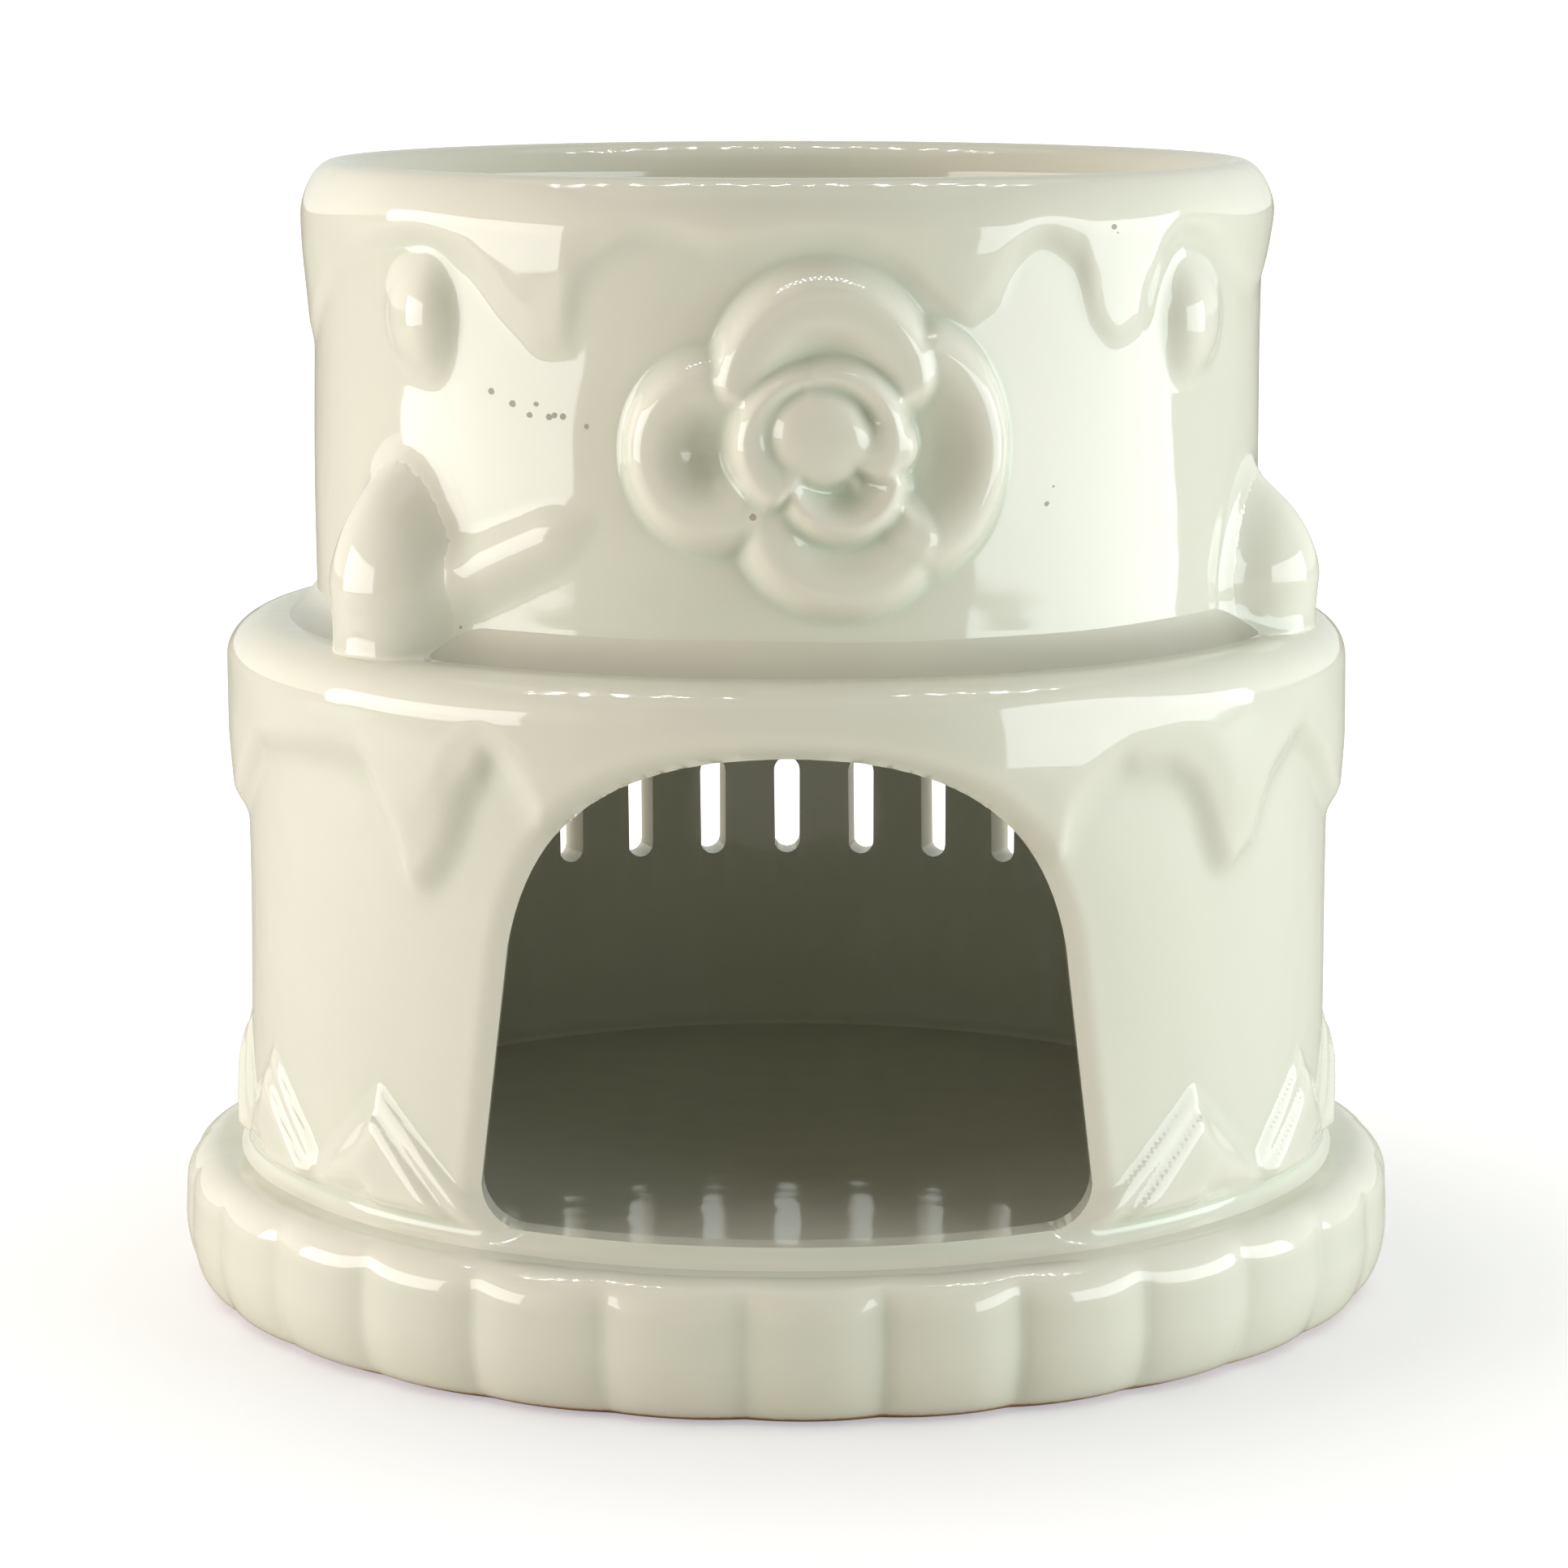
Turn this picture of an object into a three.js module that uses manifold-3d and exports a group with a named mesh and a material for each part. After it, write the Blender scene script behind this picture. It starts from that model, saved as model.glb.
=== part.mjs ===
// A cake-shaped oil burner: two iced tiers on a scalloped board, with an oil dish in the top.
// Millimetres. Z is up, the front faces -Y, and the origin is the middle of the foot on the table.
// Angles are degrees round the Z axis, from 0 at the front, growing towards the right-hand side.

import * as THREE from 'three';
import { mergeVertices } from 'three/addons/utils/BufferGeometryUtils.js';
import Module from 'manifold-3d';

const wasm = await Module();
wasm.setup();

// Gap that the cast and pressed sections keep to each other, filled by slip and glaze
const luteGap = 0.3;

// Scalloped cake board
const boardRadius = 60.05;
const footRadius = 57.6;
const boardHeight = 13.3;
const boardFloorThickness = 4.5;
const boardSkirtThickness = 6.0;
const boardWidestRise = 6.7;
const boardEdgeRound = 3.4;
const lobeCount = 29;
const lobeDepth = 1.5;
const lobeSharpness = 1.3;
const lobeValleyAngle = -3.9;
const lobeShareAtTop = 0.2;

// Lower tier, with the arch for the candle in front and the vents at the back
const lowerTierRadius = 53.0;
const lowerWallThickness = 4.0;
const lowerTierHeight = 50.7;
const shelfPlateThickness = 4.0;
const shelfHaunch = 2.2;

// Arch
const archSillRise = 1.5;
const archHeight = 44.8;
const archFootHalfWidth = 27.9;
const archShoulderHalfWidth = 25.2;
const archShoulderRise = 26.5;
const archFootRound = 4.0;
const archShoulderLean = 2.4;
const archShoulderDrop = 5.4;
const archCrownReach = 14.2;

// Vents shaped like cake candles, cut through the back wall
const ventCount = 9;
const ventPitchAngle = 9.5;
const ventFootRise = 19.0;
const candleWidth = 2.8;
const candleHeight = 10.6;
const flameWidth = 3.2;
const flameHeight = 4.4;
const flameRise = 1.6;

// Icing over the lower tier
const lowerIcingThickness = 1.6;
const lowerIcingTopThickness = 2.0;
const lowerIcingShoulder = 4.6;
const lowerIcingDripLength = 18.9;
const lowerIcingEdgeRound = 1.0;

// Pointed border round the foot of the lower tier
const borderThickness = 1.7;
const borderPeakRise = 12.9;
const borderValleyRise = 4.5;
const borderEndRise = 1.4;
const borderEdgeBevel = 0.9;
const borderPointsPerTurn = 16;
const borderFirstPoint = 2;
const borderEndAngle = 34.6;

// Upper tier
const upperTierRadius = 46.0;
const upperWallThickness = 2.7;
const upperTierHeight = 42.0;
const plateLedge = 1.8;

// Icing round the upper tier, let into its wall
const upperIcingProud = 0.9;
const upperIcingInlay = 1.0;
const upperIcingDripLength = 12.1;
const upperIcingEdgeRound = 0.8;

// Oil dish with its rolled lip
const lipHeight = 4.0;
const lipMiddleRadius = 43.8;
const dishWallThickness = 2.1;
const dishFloorThickness = 3.0;
const dishDepth = 25.0;
const dishFloorRadius = 16.0;
const dishBowlRise = 12.0;

// Rose on the front of the upper tier
const roseAngle = 3.6;
const roseLift = 0.3;
const heartRadius = 4.5;
const heartHeight = 6.6;
const heartLift = 1.0;
const heartGrooveRadius = 3.1;
const heartGrooveEndRadius = 1.0;
const heartGrooveTurns = 1.2;
const heartGrooveWidth = 1.0;
const innerPetalRadius = 7.2;
const innerPetalHalfWidth = 2.3;
const innerPetalHeight = 5.2;
const cupPetalRadius = 7.0;
const cupPetalHalfWidth = 2.1;
const cupPetalHeight = 5.8;
const sidePetalRadius = 14.1;
const sidePetalHalfWidth = 4.4;
const sidePetalHeight = 3.2;
const endPetalRadius = 13.0;
const endPetalHalfWidth = 4.0;
const topPetalHeight = 3.6;
const bottomPetalHeight = 3.0;

// Egg-shaped berries that stand on the shelf against the upper tier
const berryInset = 0.4;
const leftBerryRadius = 7.1;
const leftBerryHeight = 17.2;
const rightBerryRadius = 6.5;
const rightBerryHeight = 14.4;
const backBerryRadius = 7.0;
const backBerryHeight = 16.0;
const berries = [
  { name: 'berry_left', angle: -50, radius: leftBerryRadius, height: leftBerryHeight },
  { name: 'berry_right', angle: 76, radius: rightBerryRadius, height: rightBerryHeight },
  { name: 'berry_back', angle: -170, radius: backBerryRadius, height: backBerryHeight },
];

// Pearls that hang under the icing's high places
const pearlHalfWidth = 4.5;
const pearlHalfHeight = 6.1;
const pearlHeight = 3.4;
const pearlDrop = 9.7;
const pearls = [
  { name: 'pearl_left', angle: -45.5 },
  { name: 'pearl_right', angle: 53 },
  { name: 'pearl_back', angle: -177 },
];

// Piped stem beside the left berry
const stemHalfWidth = 2.7;
const stemHeight = 1.7;
const stemLength = 16.0;
const stemSlope = 26;
const stemAngle = -33.5;
const stemRise = 10.5;

// How much petals and stem narrow towards their ends, from 0 for not at all to 1 for a sine
const padTaper = 0.34;

// How finely round sections are stepped
const wallSteps = 88;
const edgeSteps = 120;
const dishSteps = 52;
const berrySteps = 20;
const heartSteps = 18;
const heartGroovePoints = 13;
const heartGrooveSteps = 18;
const grooveSectionSteps = 2;
const lobeSteps = 5;
const padSteps = 11;
const archSteps = 9;
const curveSteps = 4;
const borderFlankSteps = 4;

// Where each section stands, worked out from the sizes above
const lowerTierTop = boardHeight + lowerTierHeight;
const shelfTop = lowerTierTop + lowerIcingTopThickness;
const upperTierTop = lowerTierTop + upperTierHeight;
const lipTop = upperTierTop + lipHeight;
const lipOutside = upperTierRadius + upperIcingProud;
const roseMiddle = (shelfTop + upperTierTop) / 2 + roseLift;
const lowerWallInside = lowerTierRadius - lowerWallThickness;
const upperWallInside = upperTierRadius - upperWallThickness;

const glaze = { color: 0xdedfcb, roughness: 0.12, metalness: 0 };

// The icing's lower edges: how far down they hang at angles round the circle, as shares of a drip
const upperIcingEdge = [
  [-153, 0.94], [-131, 0.2], [-112, 0.73], [-100, 0.26], [-84, 1.1], [-66, 0.5], [-47, 0.24],
  [-40, 0.4], [-34.8, 0.73], [-28.7, 1], [-25.2, 0.96], [-23.5, 0.55], [-21, 0.31], [-15, 0.13],
  [-7.2, 0.27], [5, 0.14], [11, 0.27], [16.4, 0.6], [20.8, 0.75], [24.8, 0.64], [27.3, 0.33],
  [30.2, 0.2], [34, 0.35], [36, 0.74], [40.5, 0.96], [45.2, 0.89], [47.6, 0.54], [52, 0.21],
  [76, 0.71], [98, 0.21], [116, 0.95], [134, 0.2], [156, 0.86], [177, 0.18],
];
const lowerIcingEdge = [
  [-170, 0.98], [-152, 0.45], [-134, 0.91], [-116, 0.45], [-100, 0.64], [-84, 0.91], [-68, 0.5],
  [-52, 0.44], [-46.5, 0.5], [-43.5, 0.76], [-39.4, 1], [-36, 0.8], [-33.5, 0.5], [-30, 0.38],
  [-24, 0.7], [24, 0.7], [27, 0.82], [31.2, 0.57], [35.2, 0.43], [40, 0.43], [44, 0.5],
  [46.5, 0.66], [49.5, 0.96], [53, 0.93], [57, 0.64], [64, 0.46], [84, 0.91], [101, 0.44],
  [119, 0.97], [137, 0.43], [154, 0.9], [172, 0.44],
];

// Petals as arcs round the rose's middle, in degrees from its right-hand side
const innerPetal = {
  radius: innerPetalRadius, halfWidth: innerPetalHalfWidth, height: innerPetalHeight,
};
const cupPetal = { radius: cupPetalRadius, halfWidth: cupPetalHalfWidth, height: cupPetalHeight };
const sidePetal = { radius: sidePetalRadius, halfWidth: sidePetalHalfWidth, height: sidePetalHeight };
const topPetal = { radius: endPetalRadius, halfWidth: endPetalHalfWidth, height: topPetalHeight };
const bottomPetal = { ...topPetal, height: bottomPetalHeight };
const petals = [
  { name: 'rose_inner_left', from: 94, to: 230, ...innerPetal },
  { name: 'rose_inner_right', from: -24, to: 102, ...innerPetal },
  { name: 'rose_cup', from: 212, to: 352, ...cupPetal },
  { name: 'rose_outer_top', from: 30, to: 150, ...topPetal },
  { name: 'rose_outer_left', from: 128, to: 242, ...sidePetal },
  { name: 'rose_outer_bottom', from: 218, to: 330, ...bottomPetal },
  { name: 'rose_outer_right', from: -50, to: 52, ...sidePetal },
];

const radians = THREE.MathUtils.degToRad;

// A closed geometry as a solid that can be joined and cut
function toSolid(geometry) {
  const bare = geometry.index ? geometry.toNonIndexed() : geometry.clone();
  bare.deleteAttribute('normal');
  bare.deleteAttribute('uv');
  const merged = mergeVertices(bare, 1e-4);
  const corners = merged.index.array;
  const triVerts = [];
  for (let i = 0; i < corners.length; i += 3) {
    const [a, b, c] = [corners[i], corners[i + 1], corners[i + 2]];
    if (a !== b && b !== c && c !== a) triVerts.push(a, b, c);
  }
  return new wasm.Manifold(new wasm.Mesh({
    numProp: 3,
    vertProperties: merged.attributes.position.array,
    triVerts: new Uint32Array(triVerts),
  }));
}

function toGeometry(solid) {
  const mesh = solid.getMesh();
  const geometry = new THREE.BufferGeometry();
  geometry.setAttribute('position', new THREE.BufferAttribute(mesh.vertProperties, 3));
  geometry.setIndex(new THREE.BufferAttribute(mesh.triVerts, 1));
  geometry.computeVertexNormals();
  return geometry;
}

// A closed geometry swept round the Z axis. sectionAt(angle) gives its section's [radius, height]
// corners, anticlockwise with the radius to the right, and the section may change with the angle.
function sweepRound(sectionAt, steps) {
  const closed = (angle) => {
    const section = sectionAt(angle);
    return [...section, section[0]];
  };
  const corners = closed(0).map(([radius, height]) => new THREE.Vector2(radius, height));
  const geometry = new THREE.LatheGeometry(corners, steps);
  const position = geometry.attributes.position;
  for (let step = 0; step <= steps; step += 1) {
    const angle = ((step % steps) * 360) / steps;
    closed(angle).forEach(([radius, height], place) => {
      const x = radius * Math.sin(radians(angle));
      const y = -radius * Math.cos(radians(angle));
      position.setXYZ(step * corners.length + place, x, y, height);
    });
  }
  return geometry;
}

// A plain cylinder about the Z axis
function drum(radius, bottom, top) {
  const section = [[0, bottom], [radius, bottom], [radius, top], [0, top]];
  return toSolid(sweepRound(() => section, wallSteps));
}

// A smooth line round the circle through its [angle, value] places, given in order. It is level at
// its crests and hollows, and never runs past them. The line is a function of the angle.
function smoothRound(places) {
  const count = places.length;
  const placeAt = (place) => {
    const [angle, value] = places[((place % count) + count) % count];
    return [angle + 360 * Math.floor(place / count), value];
  };
  const slopeAfter = (place) => {
    const [[from, low], [to, high]] = [placeAt(place), placeAt(place + 1)];
    return (high - low) / (to - from);
  };
  const slopeAt = (place) => {
    const [before, after] = [slopeAfter(place - 1), slopeAfter(place)];
    return before * after > 0 ? (2 * before * after) / (before + after) : 0;
  };
  const first = places[0][0];
  return (angle) => {
    const turned = first + ((((angle - first) % 360) + 360) % 360);
    const before = places.findLastIndex(([at]) => at <= turned);
    const [[from, low], [to, high]] = [placeAt(before), placeAt(before + 1)];
    const share = (turned - from) / (to - from);
    const eased = share * share * (3 - 2 * share);
    const leaving = slopeAt(before) * share * (1 - share) ** 2;
    const arriving = slopeAt(before + 1) * share * share * (1 - share);
    return low + (high - low) * eased + (to - from) * (leaving - arriving);
  };
}

function cakeBoard() {
  const valleyAt = (angle) => {
    const wave = Math.abs(Math.sin(radians((lobeCount * (angle - lobeValleyAngle)) / 2)));
    return lobeDepth * (1 - wave) ** lobeSharpness;
  };
  const recess = footRadius - boardSkirtThickness;
  const top = boardHeight;
  const ceiling = top - boardFloorThickness;
  const sectionAt = (angle) => {
    const valley = valleyAt(angle);
    const flare = [0, 25, 50, 90].map((turn) => [
      footRadius + (boardRadius - footRadius) * Math.sin(radians(turn)) - valley,
      boardWidestRise * (1 - Math.cos(radians(turn))),
    ]);
    const edge = [0, 45, 90].map((turn) => [
      boardRadius - boardEdgeRound * (1 - Math.cos(radians(turn)))
        - valley * (1 - (1 - lobeShareAtTop) * Math.sin(radians(turn))),
      top - boardEdgeRound * (1 - Math.sin(radians(turn))),
    ]);
    return [[recess, 0], ...flare, ...edge, [0, top], [0, ceiling], [recess, ceiling]];
  };
  return toSolid(sweepRound(sectionAt, lobeCount * lobeSteps));
}

// The arch as a solid that reaches through the front wall only
function archCutter() {
  const foot = boardHeight + archSillRise;
  const shoulder = foot + archShoulderRise;
  const crown = foot + archHeight;
  const shape = new THREE.Shape();
  shape.moveTo(-archFootHalfWidth + archFootRound, foot);
  shape.lineTo(archFootHalfWidth - archFootRound, foot);
  shape.quadraticCurveTo(archFootHalfWidth, foot, archFootHalfWidth, foot + archFootRound);
  shape.lineTo(archShoulderHalfWidth, shoulder);
  const [leanAcross, leanUp] = [archShoulderHalfWidth - archShoulderLean, crown - archShoulderDrop];
  shape.bezierCurveTo(leanAcross, leanUp, archCrownReach, crown, 0, crown);
  shape.bezierCurveTo(-archCrownReach, crown, -leanAcross, leanUp, -archShoulderHalfWidth, shoulder);
  shape.lineTo(-archFootHalfWidth, foot + archFootRound);
  shape.quadraticCurveTo(-archFootHalfWidth, foot, -archFootHalfWidth + archFootRound, foot);
  const depth = boardRadius - lowerWallInside / 2;
  const geometry = new THREE.ExtrudeGeometry(shape, {
    depth, bevelEnabled: false, curveSegments: archSteps,
  });
  geometry.rotateX(Math.PI / 2);
  geometry.translate(0, -lowerWallInside / 2, 0);
  return toSolid(geometry);
}

// The candles with their flames, as solids that reach through the back wall
function ventCutters() {
  const foot = boardHeight + ventFootRise;
  const half = candleWidth / 2;
  const candle = new THREE.Shape();
  candle.absarc(0, foot + half, half, Math.PI, 2 * Math.PI);
  candle.absarc(0, foot + candleHeight - half, half, 0, Math.PI);
  const flameFoot = foot + candleHeight + flameRise;
  const flame = new THREE.Shape();
  flame.absarc(0, flameFoot + flameWidth / 2, flameWidth / 2, -1.15 * Math.PI, 0.15 * Math.PI);
  flame.lineTo(0, flameFoot + flameHeight);
  const depth = 3 * lowerWallThickness;
  const cutters = [];
  for (let vent = 0; vent < ventCount; vent += 1) {
    for (const shape of [candle, flame]) {
      const geometry = new THREE.ExtrudeGeometry(shape, {
        depth, bevelEnabled: false, curveSegments: curveSteps,
      });
      geometry.rotateX(Math.PI / 2);
      geometry.translate(0, lowerTierRadius + lowerWallThickness, 0);
      geometry.rotateZ(radians((vent - (ventCount - 1) / 2) * ventPitchAngle));
      cutters.push(toSolid(geometry));
    }
  }
  return cutters;
}

function lowerTier(arch) {
  const plateInside = upperWallInside - plateLedge;
  const plateFoot = lowerTierTop - shelfPlateThickness;
  const section = [
    [lowerWallInside, boardHeight],
    [lowerTierRadius, boardHeight],
    [lowerTierRadius, lowerTierTop],
    [plateInside, lowerTierTop],
    [plateInside, plateFoot],
    [lowerWallInside - shelfHaunch, plateFoot],
    [lowerWallInside, plateFoot - shelfHaunch],
  ];
  const wall = toSolid(sweepRound(() => section, wallSteps));
  return ventCutters().reduce((cut, vent) => cut.subtract(vent), wall.subtract(arch));
}

function lowerIcing(arch) {
  const inside = lowerTierRadius + luteGap;
  const outside = inside + lowerIcingThickness;
  const opening = upperTierRadius + luteGap;
  const edgeAt = smoothRound(lowerIcingEdge);
  const sectionAt = (angle) => {
    const edge = shelfTop - lowerIcingDripLength * edgeAt(angle);
    const shoulder = [0, 30, 60, 90].map((turn) => [
      outside - lowerIcingShoulder * (1 - Math.cos(radians(turn))),
      shelfTop - lowerIcingShoulder * (1 - Math.sin(radians(turn))),
    ]);
    return [
      [inside, edge + lowerIcingEdgeRound / 2],
      [inside + lowerIcingEdgeRound / 2, edge],
      [outside, edge + lowerIcingEdgeRound],
      ...shoulder,
      [opening, shelfTop],
      [opening, lowerTierTop],
      [inside, lowerTierTop],
    ];
  };
  return toSolid(sweepRound(sectionAt, edgeSteps)).subtract(arch);
}

// The border's points stand all round but in front, where the arch is
function pointedBorder() {
  const pitch = 360 / borderPointsPerTurn;
  const places = [];
  for (let point = borderFirstPoint; point <= borderPointsPerTurn - borderFirstPoint; point += 1) {
    places.push([point * pitch, borderPeakRise]);
    places.push([(point + 0.5) * pitch, borderValleyRise]);
  }
  places.pop();
  places.push([borderEndAngle, borderEndRise], [360 - borderEndAngle, borderEndRise]);
  const inside = lowerTierRadius + luteGap;
  const outside = inside + borderThickness;
  const straightAt = (angle) => {
    const sorted = [...places].sort((one, other) => one[0] - other[0]);
    const next = sorted.findIndex(([at]) => at >= angle);
    if (next <= 0) return borderEndRise;
    const [from, low] = sorted[next - 1];
    const [to, high] = sorted[next];
    return low + ((high - low) * (angle - from)) / (to - from);
  };
  const sectionAt = (angle) => {
    const rise = straightAt(angle);
    const edge = boardHeight + rise;
    return [
      [inside, boardHeight],
      [outside, boardHeight],
      [outside, edge - Math.min(borderEdgeBevel, rise / 2)],
      [inside + borderThickness / 2, edge],
      [inside, edge],
    ];
  };
  const ring = toSolid(sweepRound(sectionAt, borderPointsPerTurn * 2 * borderFlankSteps));
  const reach = 2 * boardRadius;
  const endAcross = reach * Math.sin(radians(borderEndAngle));
  const endForward = -reach * Math.cos(radians(borderEndAngle));
  const wedge = new THREE.Shape();
  wedge.moveTo(0, 0);
  wedge.lineTo(-endAcross, endForward);
  wedge.lineTo(endAcross, endForward);
  const front = new THREE.ExtrudeGeometry(wedge, { depth: lipTop, bevelEnabled: false });
  return ring.subtract(toSolid(front));
}

// The icing on the upper tier, or with a margin the room that the tier leaves for it
function upperIcing(margin) {
  const inside = upperTierRadius - upperIcingInlay + luteGap - margin;
  const outside = lipOutside + margin;
  const edgeAt = smoothRound(upperIcingEdge);
  const sectionAt = (angle) => {
    const edge = upperTierTop - upperIcingDripLength * edgeAt(angle) - margin;
    return [
      [inside, edge + upperIcingEdgeRound / 2],
      [inside + upperIcingEdgeRound / 2, edge],
      [outside - upperIcingEdgeRound / 2, edge],
      [outside, edge + upperIcingEdgeRound],
      [outside, upperTierTop + margin],
      [inside, upperTierTop + margin],
    ];
  };
  return toSolid(sweepRound(sectionAt, edgeSteps));
}

function upperTier() {
  const section = [
    [upperWallInside, lowerTierTop],
    [upperTierRadius, lowerTierTop],
    [upperTierRadius, upperTierTop],
    [upperWallInside, upperTierTop],
  ];
  return toSolid(sweepRound(() => section, edgeSteps)).subtract(upperIcing(luteGap));
}

// A bowl that hangs inside the upper tier from the lip that rests on the tier's wall
function oilDish() {
  const outside = upperWallInside - luteGap;
  const inside = outside - dishWallThickness;
  const floor = lipTop - dishDepth;
  const foot = floor - dishFloorThickness;
  const bowl = (radius, height, turn) => [
    dishFloorRadius + (radius - dishFloorRadius) * Math.sin(radians(turn)),
    height + dishBowlRise * (1 - Math.cos(radians(turn))),
  ];
  const lip = (radius, turn) => [
    lipMiddleRadius + (radius - lipMiddleRadius) * Math.cos(radians(turn)),
    upperTierTop + lipHeight * Math.sin(radians(turn)),
  ];
  const turns = [22.5, 45, 67.5, 90];
  const section = [
    [0, foot],
    [dishFloorRadius, foot],
    ...turns.map((turn) => bowl(outside, foot, turn)),
    [outside, upperTierTop],
    ...[0, 30, 60, 90].map((turn) => lip(lipOutside, turn)),
    ...[60, 30, 0].map((turn) => lip(inside, turn)),
    ...turns.toReversed().map((turn) => bowl(inside, floor, turn)),
    [dishFloorRadius, floor],
    [0, floor],
  ];
  return toSolid(sweepRound(() => section, dishSteps));
}

// A rounded pad laid on the upper tier's wall. pathAt(share) gives its middle line's place across
// and up the wall and the direction it runs in, for a share of its length from 0 to 1. The pad is
// highest a little to the right of that line, and tapers to both ends.
function wallPad({ angle, middle, pathAt, halfWidth, height, margin = 0 }) {
  const top = [[-1, 0], [-0.65, 0.74], [-0.25, 1], [0.2, 0.93], [0.62, 0.62], [1, 0]];
  const foot = [[0.33, 0], [-0.33, 0]];
  const seat = upperTierRadius + luteGap - margin;
  const rows = [];
  for (let step = 0; step <= padSteps; step += 1) {
    const share = step / padSteps;
    const path = pathAt(share);
    const swell = Math.sin(Math.PI * share) ** padTaper;
    const cornerAt = ([side, lift]) => {
      const offset = side * (halfWidth * swell + margin);
      const across = path.across - offset * Math.sin(path.heading);
      const up = path.up + offset * Math.cos(path.heading);
      const radius = seat + lift * (height * swell + 2 * margin);
      const turn = radians(angle) + across / upperTierRadius;
      return [radius * Math.sin(turn), -radius * Math.cos(turn), middle + up];
    };
    rows.push([...top, ...foot].map(cornerAt));
  }
  const corners = [];
  const sides = rows[0].length;
  for (let step = 0; step < padSteps; step += 1) {
    for (let side = 0; side < sides; side += 1) {
      const next = (side + 1) % sides;
      const [a, b] = [rows[step][side], rows[step][next]];
      const [c, d] = [rows[step + 1][side], rows[step + 1][next]];
      corners.push(...a, ...c, ...b, ...b, ...c, ...d);
    }
  }
  for (let side = 1; side < sides - 1; side += 1) {
    const [start, end] = [rows[0], rows[padSteps]];
    corners.push(...start[0], ...start[side], ...start[side + 1]);
    corners.push(...end[0], ...end[side + 1], ...end[side]);
  }
  const geometry = new THREE.BufferGeometry();
  geometry.setAttribute('position', new THREE.Float32BufferAttribute(corners, 3));
  return toSolid(geometry);
}

// A petal is a pad that runs anticlockwise round the rose's middle
function petal({ from, to, radius, halfWidth, height }, margin) {
  const [start, reach] = [radians(from) - margin / radius, radians(to - from) + (2 * margin) / radius];
  const pathAt = (share) => {
    const turn = start + share * reach;
    return {
      across: radius * Math.cos(turn),
      up: radius * Math.sin(turn),
      heading: turn + Math.PI / 2,
    };
  };
  return wallPad({ angle: roseAngle, middle: roseMiddle, pathAt, halfWidth, height, margin });
}

// Moves what is shaped at the front of the round wall to the rose's heart
function toHeart(geometry) {
  geometry.translate(0, -upperTierRadius - luteGap, 0);
  geometry.rotateZ(radians(roseAngle));
  geometry.translate(0, 0, roseMiddle + heartLift);
  return toSolid(geometry);
}

// The rose's heart as a plain dome, or with a margin the room that the petals leave for it
function heartDome(margin) {
  const dome = new THREE.SphereGeometry(1, heartSteps, heartSteps / 2);
  dome.scale(heartRadius + margin, heartHeight + margin, heartRadius + margin);
  return toHeart(dome);
}

// The rolled heart, with one groove that winds in towards its middle
function roseHeart() {
  const points = Array.from({ length: heartGroovePoints }, (_, place) => {
    const share = place / (heartGroovePoints - 1);
    const radius = heartGrooveRadius + (heartGrooveEndRadius - heartGrooveRadius) * share;
    const turn = 2 * Math.PI * heartGrooveTurns * share;
    const lift = heartHeight * Math.sqrt(1 - (radius / heartRadius) ** 2);
    return new THREE.Vector3(radius * Math.cos(turn), -lift, radius * Math.sin(turn));
  });
  const section = new THREE.Shape();
  section.absarc(0, 0, heartGrooveWidth / 2, 0, 2 * Math.PI);
  const groove = new THREE.ExtrudeGeometry(section, {
    extrudePath: new THREE.CatmullRomCurve3(points),
    steps: heartGrooveSteps,
    curveSegments: grooveSectionSteps,
  });
  return heartDome(0).subtract(toHeart(groove));
}

// An egg that stands on the shelf, or with a margin the room that its neighbours leave for it.
// Its outline is in shares of its radius and height.
function berry({ angle, radius, height }, margin) {
  const outline = [
    [0.93, 0], [1, 0.18], [0.97, 0.36], [0.86, 0.6], [0.67, 0.79], [0.42, 0.92], [0.2, 0.98], [0, 1],
  ];
  const section = [
    [0, shelfTop],
    ...outline.map(([across, up]) => [across * (radius + margin), shelfTop + up * (height + margin)]),
  ];
  const geometry = sweepRound(() => section, berrySteps);
  geometry.translate(0, -(upperTierRadius - berryInset), 0);
  geometry.rotateZ(radians(angle));
  return toSolid(geometry);
}

function pearl({ angle }) {
  const geometry = new THREE.SphereGeometry(1, berrySteps, berrySteps / 2);
  geometry.scale(pearlHalfWidth, pearlHeight, pearlHalfHeight);
  geometry.translate(0, -upperTierRadius, upperTierTop - pearlDrop);
  geometry.rotateZ(radians(angle));
  return toSolid(geometry);
}

function pipedStem() {
  const slope = radians(stemSlope);
  const pathAt = (share) => ({
    across: (share - 0.5) * stemLength * Math.cos(slope),
    up: (share - 0.5) * stemLength * Math.sin(slope),
    heading: slope,
  });
  const middle = shelfTop + stemRise;
  return wallPad({ angle: stemAngle, middle, pathAt, halfWidth: stemHalfWidth, height: stemHeight });
}

// The glazed sections, each as a named mesh with a finish of its own
const burner = new THREE.Group();
const addSection = (group, name, solid) => {
  const mesh = new THREE.Mesh(toGeometry(solid), new THREE.MeshStandardMaterial(glaze));
  mesh.name = name;
  group.add(mesh);
};

const arch = archCutter();
const lowerStage = new THREE.Group();
addSection(lowerStage, 'cake_board', cakeBoard());
addSection(lowerStage, 'lower_tier', lowerTier(arch));
addSection(lowerStage, 'pointed_border', pointedBorder());
addSection(lowerStage, 'lower_icing', lowerIcing(arch));
burner.add(lowerStage);

const upperStage = new THREE.Group();
addSection(upperStage, 'upper_tier', upperTier());
addSection(upperStage, 'upper_icing', upperIcing(0));
addSection(upperStage, 'oil_dish', oilDish());
burner.add(upperStage);

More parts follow.
